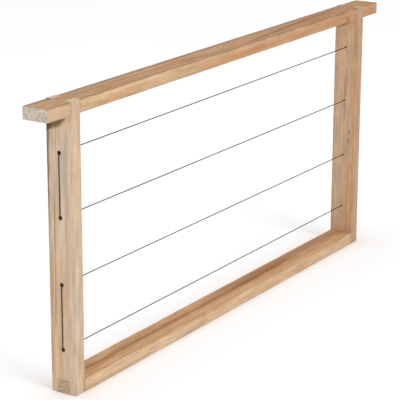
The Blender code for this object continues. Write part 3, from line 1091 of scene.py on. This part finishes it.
def left_bar_pine():
    streaks = (
        Streak(TO_LEFT, Y, 0.0, 0.0, -10.0, 90.0, 50.0, 30.0, 0.0, 0.50, srgb(212, 168, 126)),
        Streak(TO_LEFT, Y, 5.9, -0.012, 50.0, 150.0, 14.0, 1.2, 1.6, 0.66, srgb(160, 112, 76)),
        Streak(TO_LEFT, Y, 10.0, 0.0, 128.0, 212.0, 22.0, 2.8, 0.6, 0.92, srgb(136, 96, 68)),
        Streak(TO_LEFT, Y, 11.2, 0.0, 5.0, 140.0, 20.0, 2.0, 1.0, 0.55, srgb(150, 106, 74)),
        Streak(TO_LEFT, Y, 2.8, 0.0, 176.0, 207.0, 5.0, 0.7, 0.6, 0.60, srgb(146, 124, 98)),
        Streak(TO_LEFT, Y, -5.0, 0.0, 60.0, 200.0, 30.0, 0.9, 2.0, 0.30, srgb(176, 154, 126)),
        Streak(TO_LEFT, Y, 8.6, 0.0, 8.0, 110.0, 20.0, 2.4, 1.5, 0.50, srgb(206, 146, 96)),
    )
    spots = (
        Spot(TO_LEFT, (-OUTER, 8.8, 77.0), (9.0, 2.2, 16.0), 0.1, 0.5, srgb(210, 146, 94)),
        # Painted shadow under the lug on the outer face: a dark corner, darkest in a wedge
        # towards the back
        Spot(TO_LEFT, (-OUTER, 12.0, 207.0), (5.0, 20.5, 13.4), 0.78, 0.90, srgb(118, 84, 50)),
        Spot(TO_LEFT, (-OUTER, 11.0, 198.0), (5.0, 6.0, 5.2), 0.50, 0.90, srgb(96, 62, 38)),
    )
    # Painted shading by the way each face points
    faces = (
        (TO_LEFT, (0.99, 1.01, 1.04)),
        (FRONT, (0.86, 0.82, 0.79)),
        (UP, (0.64, 0.56, 0.50)),
    )
    tones = Tones(
        early=srgb(222, 198, 168),
        late=srgb(196, 160, 122),
        warm=srgb(218, 180, 146),
        pale=srgb(218, 206, 186),
        ends=srgb(204, 184, 162),
        # Near-black painted shade in the wire holes
        rims=srgb(64, 52, 42),
    )
    return pine(
        "left_bar_pine_wood",
        Z,
        LEFT_LOW,
        LEFT_HIGH,
        pith=(14.0, 62.0),
        ring=4.2,
        tones=tones,
        seed=LEFT_SEED,
        faces=faces,
        streaks=streaks,
        spots=spots,
        holes=LEFT_HOLES,
    )


def right_bar_pine():
    streaks = (
        Streak(TO_LEFT, Y, 0.0, 0.0, -10.0, 60.0, 50.0, 30.0, 0.0, 0.40, srgb(206, 160, 120)),
        # A thin darker line down the inner face, from below the top wire hole to the third
        Streak(TO_LEFT, Y, -0.3, 0.0, 84.0, 178.0, 12.0, 0.8, 1.2, 0.45, srgb(146, 116, 88)),
        Streak(TO_LEFT, Y, -9.4, 0.0, 10.0, 190.0, 30.0, 1.8, 1.5, 0.45, srgb(206, 146, 98)),
        Streak(FRONT, X, 207.0, 0.0, 20.0, 190.0, 30.0, 2.6, 2.0, 0.40, srgb(190, 134, 86)),
        Streak(TO_LEFT, Y, -5.0, 0.0, 12.0, 60.0, 10.0, 2.0, 1.5, 0.35, srgb(180, 136, 98)),
    )
    spots = (
        Spot(TO_LEFT, (INNER, -5.7, 104.0), (6.0, 2.0, 3.6), 0.1, 0.6, srgb(138, 108, 80)),
        Spot(TO_LEFT, (INNER, -5.5, 95.9), (6.0, 2.0, 3.6), 0.1, 0.6, srgb(138, 108, 80)),
        # Painted shadow on the inner face, under the top bar's end
        Spot(TO_LEFT, (INNER, 13.0, 207.0), (5.0, 20.0, 10.2), 0.78, 0.80, srgb(140, 96, 64)),
    )
    # Painted shading by the way each face points
    faces = (
        (TO_LEFT, (0.93, 0.90, 0.87)),
        (FRONT, (0.73, 0.70, 0.67)),
        (UP, (0.60, 0.49, 0.40)),
    )
    tones = Tones(
        early=srgb(214, 182, 150),
        late=srgb(188, 146, 108),
        warm=srgb(208, 166, 126),
        pale=srgb(212, 190, 166),
        ends=srgb(194, 168, 138),
        rims=srgb(206, 168, 130),
    )
    return pine(
        "right_bar_pine_wood",
        Z,
        RIGHT_LOW,
        RIGHT_HIGH,
        pith=(-16.0, -58.0),
        ring=4.4,
        tones=tones,
        seed=RIGHT_SEED,
        faces=faces,
        streaks=streaks,
        spots=spots,
        holes=RIGHT_HOLES,
    )


# ---------------------------------------------------------------- the whole frame

add_camera()
add_studio()
add_floor()
make_top_bar(top_bar_pine())
make_bottom_bar(bottom_bar_pine())
make_side_bar("left", -1, LEFT_LOW, LEFT_HIGH, LEFT_HOLES, LEFT_SEED, left_bar_pine())
make_side_bar("right", 1, RIGHT_LOW, RIGHT_HIGH, RIGHT_HOLES, RIGHT_SEED, right_bar_pine())
make_wire(steel("wire_dull_steel", *WIRE_STEEL, WIRE_ROUGHNESS, WIRE_RUST))
dress_nails(steel("nail_dull_steel", *NAIL_STEEL, NAIL_ROUGHNESS, NAIL_RUST))
